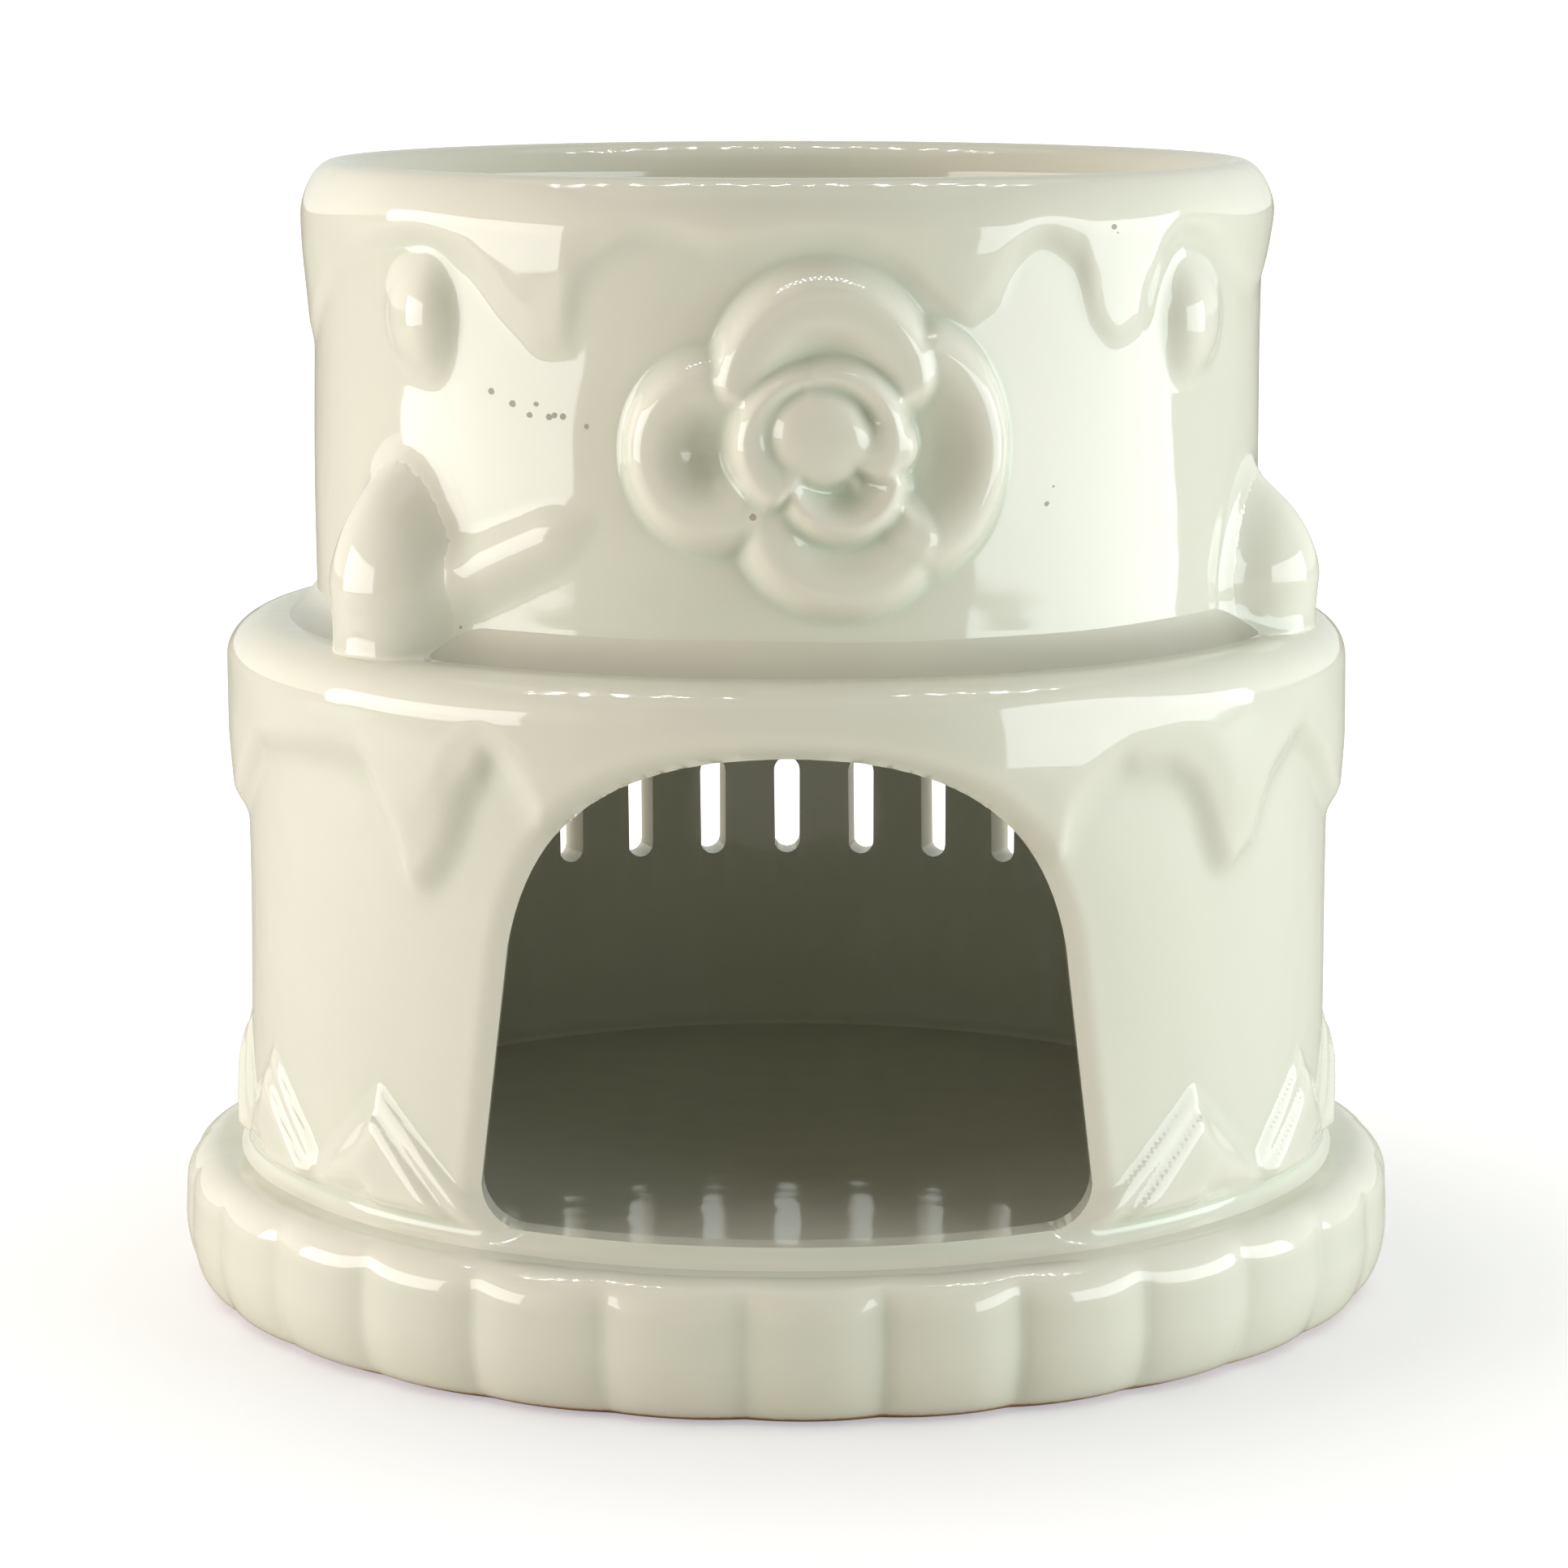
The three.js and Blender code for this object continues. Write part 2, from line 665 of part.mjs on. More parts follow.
// What stands out from the upper tier is cut off where it meets the shelf, wall, icing and lip
const taken = [
  drum(boardRadius, lowerTierTop, shelfTop),
  drum(upperTierRadius + luteGap, lowerTierTop, lipTop),
  drum(lipOutside + luteGap, upperTierTop - luteGap, lipTop + luteGap),
  upperIcing(luteGap),
];
const seated = (solid) => taken.reduce((left, room) => left.subtract(room), solid);

const trimmings = new THREE.Group();
for (const spec of berries) addSection(trimmings, spec.name, seated(berry(spec, 0)));
for (const spec of berries) taken.push(berry(spec, luteGap));
for (const spec of pearls) addSection(trimmings, spec.name, seated(pearl(spec)));
addSection(trimmings, 'berry_stem', seated(pipedStem()));
burner.add(trimmings);

const rose = new THREE.Group();
const laid = [heartDome(luteGap)];
for (const spec of petals) {
  const left = laid.reduce((solid, over) => solid.subtract(over), petal(spec, 0));
  addSection(rose, spec.name, seated(left));
  laid.push(petal(spec, luteGap));
}
addSection(rose, 'rose_heart', seated(roseHeart()));
burner.add(rose);

export default burner;
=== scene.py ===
import math

import bpy
import numpy as np
from mathutils import Matrix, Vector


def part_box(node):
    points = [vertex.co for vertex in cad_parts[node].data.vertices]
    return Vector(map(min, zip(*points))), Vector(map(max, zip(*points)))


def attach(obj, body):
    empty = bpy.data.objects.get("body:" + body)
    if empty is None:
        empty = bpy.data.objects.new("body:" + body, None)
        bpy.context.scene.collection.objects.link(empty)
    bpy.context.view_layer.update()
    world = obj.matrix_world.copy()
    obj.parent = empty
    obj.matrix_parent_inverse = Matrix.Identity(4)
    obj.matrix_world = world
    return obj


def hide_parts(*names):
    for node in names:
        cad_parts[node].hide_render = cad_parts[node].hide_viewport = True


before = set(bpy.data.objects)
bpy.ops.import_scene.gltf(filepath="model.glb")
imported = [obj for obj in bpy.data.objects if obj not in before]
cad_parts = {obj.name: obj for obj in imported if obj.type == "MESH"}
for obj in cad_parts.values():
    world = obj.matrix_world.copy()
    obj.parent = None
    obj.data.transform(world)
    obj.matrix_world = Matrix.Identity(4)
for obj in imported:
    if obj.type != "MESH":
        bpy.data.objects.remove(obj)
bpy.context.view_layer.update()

# The scalloped cake board
# Earthenware cast in one with the tiers above it and glazed all over but for the foot.
# Its soft flutes come from the mould, and the foot ring is wiped bare before firing.
mm = 0.001
board_low, board_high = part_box("cake_board")
board_top = board_high.z / mm
board_radius = -board_low.y / mm
board_belly = 6.7
board_belly_round = 6.3
board_draft = 0.15
board_shoulder = 3.4
covered_radius = 49
foot_radius = 57.2
foot_bevel = (0.9, 0.5)
foot_ring_inside = 51.6
recess_top = 8.8
recess_round = 2
pole_radius = 3
lobe_count = 29
lobe_depth = 1.2
lobe_sharpness = 1.25
lobe_valley_angle = -3.9
seam_flute_share = 0.3
board_columns = lobe_count * 20


def line(start, end, steps):
    """Points from start on to end, without the end itself."""
    return [
        tuple(start[axis] + (end[axis] - start[axis]) * step / steps for axis in (0, 1))
        for step in range(steps)
    ]


def arc(centre, across, up, first, last, steps):
    """Points along an ellipse's arc, in degrees from its right-hand end, without the last one."""
    middle_across, middle_up = centre
    turns = [math.radians(first + (last - first) * step / steps) for step in range(steps)]
    return [
        (middle_across + across * math.cos(turn), middle_up + up * math.sin(turn)) for turn in turns
    ]


def turned(name, section, columns):
    """A closed skin spun once round the Z axis from its section's (radius, height) points."""
    bpy.ops.object.select_all(action="DESELECT")
    bpy.ops.mesh.primitive_circle_add(vertices=len(section), radius=1)
    piece = bpy.context.object
    piece.name = piece.data.name = name
    for vertex, (radius, height) in zip(piece.data.vertices, section):
        vertex.co = (0, -radius * mm, height * mm)
    wheel = piece.modifiers.new("wheel", "SCREW")
    wheel.steps = wheel.render_steps = columns
    wheel.use_merge_vertices = True
    wheel.merge_threshold = 0.001 * mm
    bpy.ops.object.modifier_apply(modifier=wheel.name)
    bpy.ops.object.mode_set(mode="EDIT")
    bpy.ops.mesh.select_all(action="SELECT")
    bpy.ops.mesh.delete_loose()
    bpy.ops.mesh.select_all(action="SELECT")
    bpy.ops.mesh.normals_make_consistent(inside=False)
    bpy.ops.object.mode_set(mode="OBJECT")
    return piece


def points_of(piece):
    """A mesh's points as an array, in millimetres."""
    points = np.empty(len(piece.data.vertices) * 3)
    piece.data.vertices.foreach_get("co", points)
    return points.reshape(-1, 3) / mm


def normals_of(piece):
    """The way each of a mesh's points faces, as an array."""
    normals = np.empty(len(piece.data.vertices) * 3)
    piece.data.vertices.foreach_get("normal", normals)
    return normals.reshape(-1, 3)


def move_to(piece, points):
    """Puts a mesh's points at places given in millimetres."""
    piece.data.vertices.foreach_set("co", (points * mm).ravel())
    piece.data.update()


def press(piece, radius_at):
    """Moves a skin's points in or out to radius_at(angle, radius, height)."""
    points = points_of(piece)
    radius = np.hypot(points[:, 0], points[:, 1])
    angle = np.degrees(np.arctan2(points[:, 0], -points[:, 1]))
    share = radius_at(angle, radius, points[:, 2]) / np.maximum(radius, 0.001)
    points[:, :2] *= share[:, None]
    move_to(piece, points)


def ease(value, low, high):
    """0 below low, 1 above high, and a smooth rise between them."""
    share = np.clip((value - low) / (high - low), 0, 1)
    return share * share * (3 - 2 * share)


pool_limit = 0.6
pool_spread = 0.6


def pool_glaze(piece, passes):
    """Marks where the wet glaze ran together, above 0, and where it thinned, below 0."""
    mesh = piece.data
    points, normals = points_of(piece), normals_of(piece)
    ends = np.empty(len(mesh.edges) * 2, int)
    mesh.edges.foreach_get("vertices", ends)
    first, last = ends.reshape(-1, 2).T
    way = points[last] - points[first]
    reach = np.maximum((way * way).sum(1), 0.01)
    count = len(points)
    lift = np.bincount(first, (way * normals[first]).sum(1) / reach, count)
    lift -= np.bincount(last, (way * normals[last]).sum(1) / reach, count)
    share = np.maximum(np.bincount(first, minlength=count) + np.bincount(last, minlength=count), 1)
    pool = np.clip(lift / share, -pool_limit, pool_limit)
    for _ in range(passes):
        near = np.bincount(first, pool[last], count) + np.bincount(last, pool[first], count)
        pool = (1 - pool_spread) * pool + pool_spread * near / share
    layer = mesh.attributes.new("pool", "FLOAT", "POINT")
    layer.data.foreach_set("value", pool.astype(np.float32))


class Socket:
    """An output of a finish's nodes. Sums on it add their Math nodes."""

    def __init__(self, tree, output=None):
        self.tree, self.output = tree, output

    def node(self, kind, settings, inputs, output=0):
        """A new node's output, its settings set first and then its sockets' values or links."""
        made = self.tree.nodes.new("ShaderNode" + kind)
        for name, value in settings.items():
            setattr(made, name, value)
        for place, value in inputs.items():
            if isinstance(value, Socket):
                self.tree.links.new(value.output, made.inputs[place])
            else:
                made.inputs[place].default_value = value
        return Socket(self.tree, made.outputs[output])

    def maths(self, operation, first, second, clamp=False):
        settings = {"operation": operation, "use_clamp": clamp}
        return self.node("Math", settings, {0: first, 1: second})

    def __add__(self, other):
        return self.maths("ADD", self, other)

    __radd__ = __add__

    def __mul__(self, other):
        return self.maths("MULTIPLY", self, other)

    __rmul__ = __mul__

    def __sub__(self, other):
        return self.maths("SUBTRACT", self, other)

    def __rsub__(self, other):
        return self.maths("SUBTRACT", other, self)


def mixed(factor, first, second, blend="MIX"):
    """A colour between two others, or with ADD the first and a share of the second."""
    settings = {"data_type": "RGBA", "blend_type": blend, "clamp_factor": True}
    return factor.node("Mix", settings, {0: factor, 6: first, 7: second}, 2)


# The glaze's colours where it is usual, deep and thin, and the strength of its other details
cream = (0.80, 0.785, 0.70, 1)
celadon = (0.60, 0.665, 0.56, 1)
thin_glaze = (0.85, 0.825, 0.74, 1)
speck_brown = (0.16, 0.12, 0.085, 1)
bare_clay = (0.62, 0.40, 0.22, 1)
glaze_line = 0.7
glaze_gloss = 0.045
glaze_ior = 1.56
glaze_unevenness = 0.07
cloud_scale = 55.0
peel_scale = 150.0
grain_scale = 1500.0
speck_scale = 105.0
speck_radius = 0.022
speck_rarity = 0.86
pool_to_celadon = 2.2
crest_to_thin = 1.2
wander = 0.2

# Specks and pinholes seen in the glaze: place across and up, and radius
specks = [
    (-3.0, 80.5, 0.3), (29.4, 105.3, 0.36), (29.7, 104.8, 0.3), (-41.5, 31.7, 0.22),
    (23.4, 80.7, 0.3), (31.9, 83.0, 0.28), (24.0, 82.2, 0.24), (-26.7, 90.6, 0.4),
    (-24.7, 89.6, 0.38), (-23.1, 88.7, 0.34), (-22.5, 89.7, 0.3), (-21.3, 88.6, 0.34),
    (-20.8, 88.8, 0.3), (-20.0, 88.7, 0.34), (-17.9, 87.9, 0.28), (-28.6, 104.6, 0.24),
]


def glaze_finish(name, foot_height):
    """The milky glaze: greener in hollows, with iron specks, over clay left bare at the foot."""
    finish = bpy.data.materials.new(name)
    finish.use_nodes = True
    tree = finish.node_tree
    shader = tree.nodes["Principled BSDF"]
    start = Socket(tree)
    place = start.node("TexCoord", {}, {}, "Object")
    pool = start.node("Attribute", {"attribute_name": "pool"}, {}, "Fac")
    cloud = start.node("TexNoise", {}, {"Vector": place, "Scale": cloud_scale, "Detail": 3.0})
    peel = start.node("TexNoise", {}, {"Vector": place, "Scale": peel_scale, "Detail": 1.0})
    grain = start.node("TexNoise", {}, {"Vector": place, "Scale": grain_scale, "Detail": 2.0})
    depth = pool * pool_to_celadon + (cloud - 0.5) * (2 * wander)
    colour = mixed(start.maths("ADD", depth, wander, clamp=True), cream, celadon)
    crest = start.maths("MULTIPLY", pool, -crest_to_thin, clamp=True)
    colour = mixed(crest, colour, thin_glaze)
    cells = {"Vector": place, "Scale": speck_scale}
    near = start.node("TexVoronoi", {}, cells, "Distance")
    lot = start.node("SeparateColor", {}, {0: start.node("TexVoronoi", {}, cells, "Color")}, 0)
    speck = start.maths("LESS_THAN", near, speck_radius)
    speck = speck * start.maths("GREATER_THAN", lot, speck_rarity)
    # The front wall is flattened to y = -1 mm for this, and the back wall stays 2 mm from it
    flat = start.node("VectorMath", {"operation": "MULTIPLY"}, {0: place, 1: (1, 0.02, 1)})
    for across, height, radius in specks:
        from_speck = {0: flat, 1: (across * mm, -mm, height * mm)}
        gap = start.node("VectorMath", {"operation": "DISTANCE"}, from_speck, "Value")
        spot = start.maths("LESS_THAN", gap + (grain - 0.5) * (0.2 * mm), radius * mm)
        speck = start.maths("MAXIMUM", speck, spot)
    colour = mixed(speck * 0.6, colour, speck_brown)
    height = start.node("SeparateXYZ", {}, {0: place}, "Z")
    bare = start.maths("LESS_THAN", height + (grain - 0.5) * (0.5 * mm), foot_height * mm)
    colour = mixed(bare, colour, bare_clay)
    tree.links.new(colour.output, shader.inputs["Base Color"])
    gloss = glaze_gloss + (grain * 0.03) + bare * 0.6 + speck * 0.5
    tree.links.new(gloss.output, shader.inputs["Roughness"])
    shader.inputs["IOR"].default_value = glaze_ior
    relief = peel + grain * 0.02
    swell = {"Strength": 1.0, "Distance": glaze_unevenness * mm, "Height": relief}
    bump = start.node("Bump", {}, swell)
    tree.links.new(bump.output, shader.inputs["Normal"])
    return finish


foot_edge = foot_radius - foot_bevel[0]
belly_start = foot_radius - 0.2
shoulder_edge = board_radius - board_draft
board_section = (
    line((foot_ring_inside, 0), (foot_edge, 0), 4)
    + line((foot_edge, 0), (foot_radius, foot_bevel[1]), 3)
    + arc(
        (belly_start, board_belly), board_radius - belly_start, board_belly_round, -80, 0, 14
    )
    + line((board_radius, board_belly), (shoulder_edge, board_top - board_shoulder), 7)
    + arc(
        (shoulder_edge - board_shoulder, board_top - board_shoulder),
        board_shoulder, board_shoulder, 0, 90, 12,
    )
    + line((shoulder_edge - board_shoulder, board_top), (covered_radius, board_top), 12)
    + line((covered_radius, board_top), (pole_radius, board_top), 12)
    + [(0, board_top), (0, recess_top)]
    + line((pole_radius, recess_top), (foot_ring_inside - recess_round, recess_top), 6)
    + arc(
        (foot_ring_inside - recess_round, recess_top - recess_round),
        recess_round, recess_round, 90, 0, 4,
    )
    + line((foot_ring_inside, recess_top - recess_round), (foot_ring_inside, 0), 3)
)


def fluted(angle, radius, height):
    """The board's outside: soft lobes with narrow valleys, which fade towards the mould's seams."""
    wave = np.abs(np.sin(np.radians(lobe_count * (angle - lobe_valley_angle) / 2)))
    wobble = 1 + 0.18 * np.sin(np.radians(3 * angle + 40)) + 0.12 * np.sin(np.radians(7 * angle))
    valley = lobe_depth * wobble * (1 - wave) ** lobe_sharpness
    over_shoulder = ease(height, board_top - board_shoulder, board_top + 0.6)
    fade = ease(height, -3, 3) * (1 - 0.75 * over_shoulder)
    facing = np.abs(np.cos(np.radians(angle))) ** 1.5
    fade = fade * (seam_flute_share + (1 - seam_flute_share) * facing)
    outside = ease(radius, foot_ring_inside + 3, foot_radius - 1)
    return radius - valley * fade * outside


board = turned("glazed_board", board_section, board_columns)
press(board, fluted)
pool_glaze(board, 5)
bpy.ops.object.shade_smooth()
foot_glaze = glaze_finish("glaze_over_bare_foot", glaze_line)
board.data.materials.append(foot_glaze)
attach(board, "root")
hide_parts("cake_board")

# The lower tier with its icing and the pointed border
# A cast wall under a shelf, open in front for the candle, with candle-shaped vents behind.
# Icing and border are raised in the mould, and the glaze softens all their edges.
lower_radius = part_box("lower_tier")[1].x / mm
lower_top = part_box("lower_tier")[1].z / mm
shelf_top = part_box("lower_icing")[1].z / mm
upper_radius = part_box("upper_tier")[1].x / mm
lower_wall = 4.0
lower_cove = 1.5
lower_columns = 640
wall_unevenness = 0.16
plate_foot = lower_top - 4.0
plate_inside = 41.5
shelf_haunch = 2.2
inner_cove = 1.6
icing_thickness = 1.9
icing_shoulder = 4.6
icing_shoulder_height = 3.8

# The icing's skin: how far it stands out, the share of that just inside its edge, the width of
# the step there, how far it swells upwards, and how much of the step lies outside the edge
lower_icing_skin = (icing_thickness, 0.8, 3.4, 6.0, 0.95)
lower_drip_length = 18.9
seam_softness = 1.9
seam_share = 0.8

# Over the arch's right half the icing leans back above this height, between these angles
icing_lean_foot = 58.4
icing_lean_height = 5
icing_lean_slope = 0.05
icing_lean_curve = 0.0175
icing_lean_begins = (-5, 14)
icing_lean_ends = (28, 50)

# Each layer of the border: where it ends beside the arch, how far its points lie below the
# border's own, and its share of the border's thickness
border_layers = [(30.5, 0.0, 0.55), (34.8, 2.4, 0.45)]
border_thickness = 1.7
border_foot = 1.5
border_peak = 12.9
border_valley = 4.5
border_pitch = 22.5
border_step = 1.9
border_step_shares = (0.65, 1.65)

# Each edge below runs round the wall as (angle, share of the longest drip)
lower_icing_edge = [
    (-170, 0.98), (-152, 0.45), (-134, 0.91), (-116, 0.45), (-100, 0.64), (-84, 0.91),
    (-68, 0.5), (-52, 0.44), (-46.5, 0.5), (-43.5, 0.76), (-39.4, 1), (-36, 0.8), (-33.5, 0.5),
    (-30, 0.38), (-24, 0.7), (24, 0.7), (27, 0.82), (31.2, 0.57), (35.2, 0.43), (40, 0.43),
    (44, 0.5), (46.5, 0.66), (49.5, 0.96), (53, 0.93), (57, 0.64), (64, 0.46), (84, 0.91),
    (101, 0.44), (119, 0.97), (137, 0.43), (154, 0.9), (172, 0.44),
]


def wave_at(places, angle):
    """A smooth line round the circle through (angle, value) places, level at crests and hollows."""
    turns = np.array([at for at, _ in places], float)
    values = np.array([value for _, value in places], float)
    turns = np.concatenate([turns[-2:] - 360, turns, turns[:2] + 360])
    values = np.concatenate([values[-2:], values, values[:2]])
    runs = np.diff(turns)
    slopes = np.diff(values) / runs
    both = slopes[:-1] * slopes[1:]
    level = np.where(both > 0, 2 * both / np.where(both > 0, slopes[:-1] + slopes[1:], 1), 0)
    slope = np.concatenate([[0], level, [0]])
    before = np.clip(np.searchsorted(turns, angle) - 1, 1, len(turns) - 3)
    share = (angle - turns[before]) / runs[before]
    eased = share * share * (3 - 2 * share)
    leaving = slope[before] * share * (1 - share) ** 2
    arriving = slope[before + 1] * share * share * (1 - share)
    rise = (values[before + 1] - values[before]) * eased
    return values[before] + rise + runs[before] * (leaving - arriving)


def melted(first, second, melt):
    """The higher of two heights, with the corner between them filled as wet glaze fills it."""
    lean = np.clip(0.5 + 0.5 * (second - first) / melt, 0, 1)
    return first + (second - first) * lean + melt * lean * (1 - lean)


far_off = 99.0


def way_to(start, end, across, height):
    """How far points lie from a straight line's nearest place."""
    along, up = end[0] - start[0], end[1] - start[1]
    span = np.maximum(along * along + up * up, 1e-9)
    share = np.clip(((across - start[0]) * along + (height - start[1]) * up) / span, 0, 1)
    return np.hypot(across - start[0] - share * along, height - start[1] - share * up)


def icing_height(places, top, drip, skin, angle, height, radius):
    """How far icing stands out over its wavy edge: long drips that swell slowly, over a soft step.

    The mould is drawn off to the front and the back, so the steps that face its seams are wide.
    """
    thickness, low, step, body, spill = skin
    swing, stride = 12.0, 0.8
    nearest, facing, total = np.full(len(angle), far_off), 0, 0
    start = None
    for turn in np.arange(-swing, swing + stride, stride):
        at = (angle + turn + 180) % 360 - 180
        end = (radius * np.radians(turn), top - drip * wave_at(places, at))
        if start:
            gap = way_to(start, end, 0.0, height)
            nearest = np.minimum(nearest, gap)
            weight = np.exp(-2 * gap)
            rise = (end[1] - start[1]) / np.hypot(end[0] - start[0], end[1] - start[1])
            facing, total = facing + weight * rise, total + weight
        start = end
    share = wave_at(places, angle)
    above = height - top + drip * share
    swell = np.clip(-melted(-above / (body * (0.15 + 0.85 * share)), -1.0, 0.25), 0, 1)
    gap = nearest * np.where(above > 0, 1, -1)
    outwards = np.clip(3 * np.sin(np.radians(2 * angle)), -1, 1)
    seam = seam_share * ease(outwards * facing / total, -0.6, 0.9)
    outside = spill * step * (1 + seam * (0.4 * seam_softness - 1))
    width = step * (1 + seam * (seam_softness - 1))
    steps = ease(gap, -outside, width - outside)
    return thickness * (low + (1 - low) * swell) * steps


def border_height(angle, height):
    """The pointed border: flaps that point upwards, each with a smaller flap laid over it."""
    turn = np.abs(angle)
    point = np.abs((turn / border_pitch) % 1 - 0.5) * 2
    first_peak = 2 * border_pitch
    seam_side = np.clip(0.5 + 0.8 * np.sin(2 * np.pi * turn / border_pitch), 0, 1)
    narrow, wider = border_step_shares
    width = border_step * np.where(turn > first_peak, narrow + wider * seam_side, 1)
    below = height - (board_top + border_foot)
    relief = 0
    for end_angle, drop, share in border_layers:
        peak = border_peak - drop
        edge = border_valley - drop + (border_peak - border_valley) * point
        ramp = border_foot + (peak - border_foot) * (turn - end_angle) / (first_peak - end_angle)
        edge = np.where(turn < first_peak, ramp, edge)
        above = (board_top + edge - height) * 0.77 + 0.5
        inside = -melted(-above, -below, 0.5)
        slope = np.clip(inside / width, 0, 1)
        relief = relief + share * (1 - (1 - slope) ** 2) * ease(inside, 0, 0.4)
    return border_thickness * relief


def settled(angle, height):
    """The slow unevenness of a cast wall."""
    turn = np.radians(angle)
    lift = 0.5 * np.sin(3 * turn + 0.08 * height) + 0.3 * np.sin(7 * turn - 0.11 * height + 1.0)
    return wall_unevenness * (lift + 0.25 * np.sin(13 * turn + 0.23 * height + 2.0))


def coved(height, foot, radius):
    """The rounded corner where a wall stands on the level surface below it."""
    rise = np.clip((height - foot) / radius, 0, 1)
    return radius * (1 - np.sqrt(1 - (1 - rise) ** 2))


arch_sill = board_top + 1.5
arch_crown = arch_sill + 44.8
arch_foot_half = 27.9
arch_shoulder_half = 25.2
arch_shoulder = arch_sill + 26.5
arch_foot_round = 4.0
arch_rim_round = 2.2
arch_rim_depth = 0.75
arch_reach = 60


def bezier(points, steps):
    """Points along a cubic curve, without its end."""
    shares = [step / steps for step in range(steps)]
    weights = [((1 - t) ** 3, 3 * t * (1 - t) ** 2, 3 * t * t * (1 - t), t**3) for t in shares]
    return [
        tuple(sum(w * p[axis] for w, p in zip(weight, points)) for axis in (0, 1))
        for weight in weights
    ]


half_arch = (
    [(0, arch_sill)]
    + line((0.5, arch_sill), (arch_foot_half - arch_foot_round, arch_sill), 4)
    + arc(
        (arch_foot_half - arch_foot_round, arch_sill + arch_foot_round),
        arch_foot_round, arch_foot_round, -90, 0, 8,
    )
    + line((arch_foot_half, arch_sill + arch_foot_round), (arch_shoulder_half, arch_shoulder), 8)
    + bezier(
        [
            (arch_shoulder_half, arch_shoulder),
            (arch_shoulder_half - 2.4, arch_crown - 5.4),
            (arch_shoulder_half - 11, arch_crown),
            (0, arch_crown),
        ],
        24,
    )
)
arch_outline = half_arch + [(0, arch_crown)] + [(-x, z) for x, z in half_arch[:0:-1]]


def gap_to(outline, across, height):
    """How far points lie from a closed outline."""
    nearest = np.full(len(across), far_off)
    for start, end in zip(outline, outline[1:] + outline[:1]):
        nearest = np.minimum(nearest, way_to(start, end, across, height))
    return nearest


icing_outside = lower_radius + icing_thickness
shoulder_radius = icing_outside - icing_shoulder
wall_inside = lower_radius - lower_wall
wall_foot = board_top - 0.4
cove_rows_top = board_top + 2.4
border_rows_top = board_top + 14
icing_rows_foot = shelf_top - 21
shoulder_foot = shelf_top - icing_shoulder_height
plate_edge = upper_radius - 1.5
lower_section = (
    line((icing_outside, wall_foot), (icing_outside, cove_rows_top), 9)
    + line((icing_outside, cove_rows_top), (icing_outside, border_rows_top), 32)
    + line((icing_outside, border_rows_top), (icing_outside, icing_rows_foot), 18)
    + line((icing_outside, icing_rows_foot), (icing_outside, shoulder_foot), 34)
    + arc((shoulder_radius, shoulder_foot), icing_shoulder, icing_shoulder_height, 0, 90, 14)
    + line((shoulder_radius, shelf_top), (plate_edge, shelf_top), 9)
    + line((plate_edge, shelf_top), (plate_edge, lower_top), 2)
    + line((plate_edge, lower_top), (plate_inside, lower_top), 2)
    + line((plate_inside, lower_top), (plate_inside, plate_foot), 3)
    + line((plate_inside, plate_foot), (wall_inside - shelf_haunch, plate_foot), 3)
    + arc(
        (wall_inside - shelf_haunch, plate_foot - shelf_haunch),
        shelf_haunch, shelf_haunch, 90, 0, 5,
    )
    + line((wall_inside, plate_foot - shelf_haunch), (wall_inside, board_top + inner_cove), 14)
    + arc((wall_inside - inner_cove, board_top + inner_cove), inner_cove, inner_cove, 0, -75, 5)
    + [(wall_inside - 1.4, wall_foot)]
)


def lower_relief(angle, radius, height):
    """The lower tier's outside: icing and border on the wall, and the arch's rounded rim."""
    icing = icing_height(
        lower_icing_edge, shelf_top, lower_drip_length, lower_icing_skin,
        angle, height, lower_radius,
    )
    relief = melted(icing, border_height(angle, height), 0.7)
    cove = coved(height, board_top, lower_cove)
    relief = relief + cove * (1 - np.clip(relief / border_thickness, 0, 1) * 0.5)
    lean = np.clip(height - icing_lean_foot, 0, icing_lean_height)
    lean = icing_lean_slope * lean + icing_lean_curve * lean**2
    lean = lean * ease(angle, *icing_lean_begins) * (1 - ease(angle, *icing_lean_ends))
    outer = radius - icing_thickness + relief - lean + settled(angle, height)
    across = lower_radius * np.sin(np.radians(angle))
    front = (np.abs(angle) < arch_reach) & (height < arch_crown + 3)
    gap = np.full(len(angle), far_off)
    gap[front] = gap_to(arch_outline, across[front], height[front])
    rim = np.clip(1 - gap / arch_rim_round, 0, 1)
    outer = outer - arch_rim_round * arch_rim_depth * rim**2
    fade = 1 - ease(height, shoulder_foot, shelf_top - 0.4)
    fade = fade * (radius > shoulder_radius)
    return radius + (outer - radius) * fade


def extruded(name, outline, depth):
    """A closed block with an (x, z) outline, standing from y = 0 back to -depth."""
    bpy.ops.object.select_all(action="DESELECT")
    bpy.ops.mesh.primitive_circle_add(vertices=len(outline), radius=1, fill_type="NGON")
    block = bpy.context.object
    block.name = name
    for vertex, (across, height) in zip(block.data.vertices, outline):
        vertex.co = (across * mm, 0, height * mm)
    bpy.ops.object.mode_set(mode="EDIT")
    bpy.ops.mesh.select_all(action="SELECT")
    bpy.ops.mesh.extrude_region_move(TRANSFORM_OT_translate={"value": (0, -depth * mm, 0)})
    bpy.ops.mesh.select_all(action="SELECT")
    bpy.ops.mesh.normals_make_consistent(inside=False)
    bpy.ops.object.mode_set(mode="OBJECT")
    return block


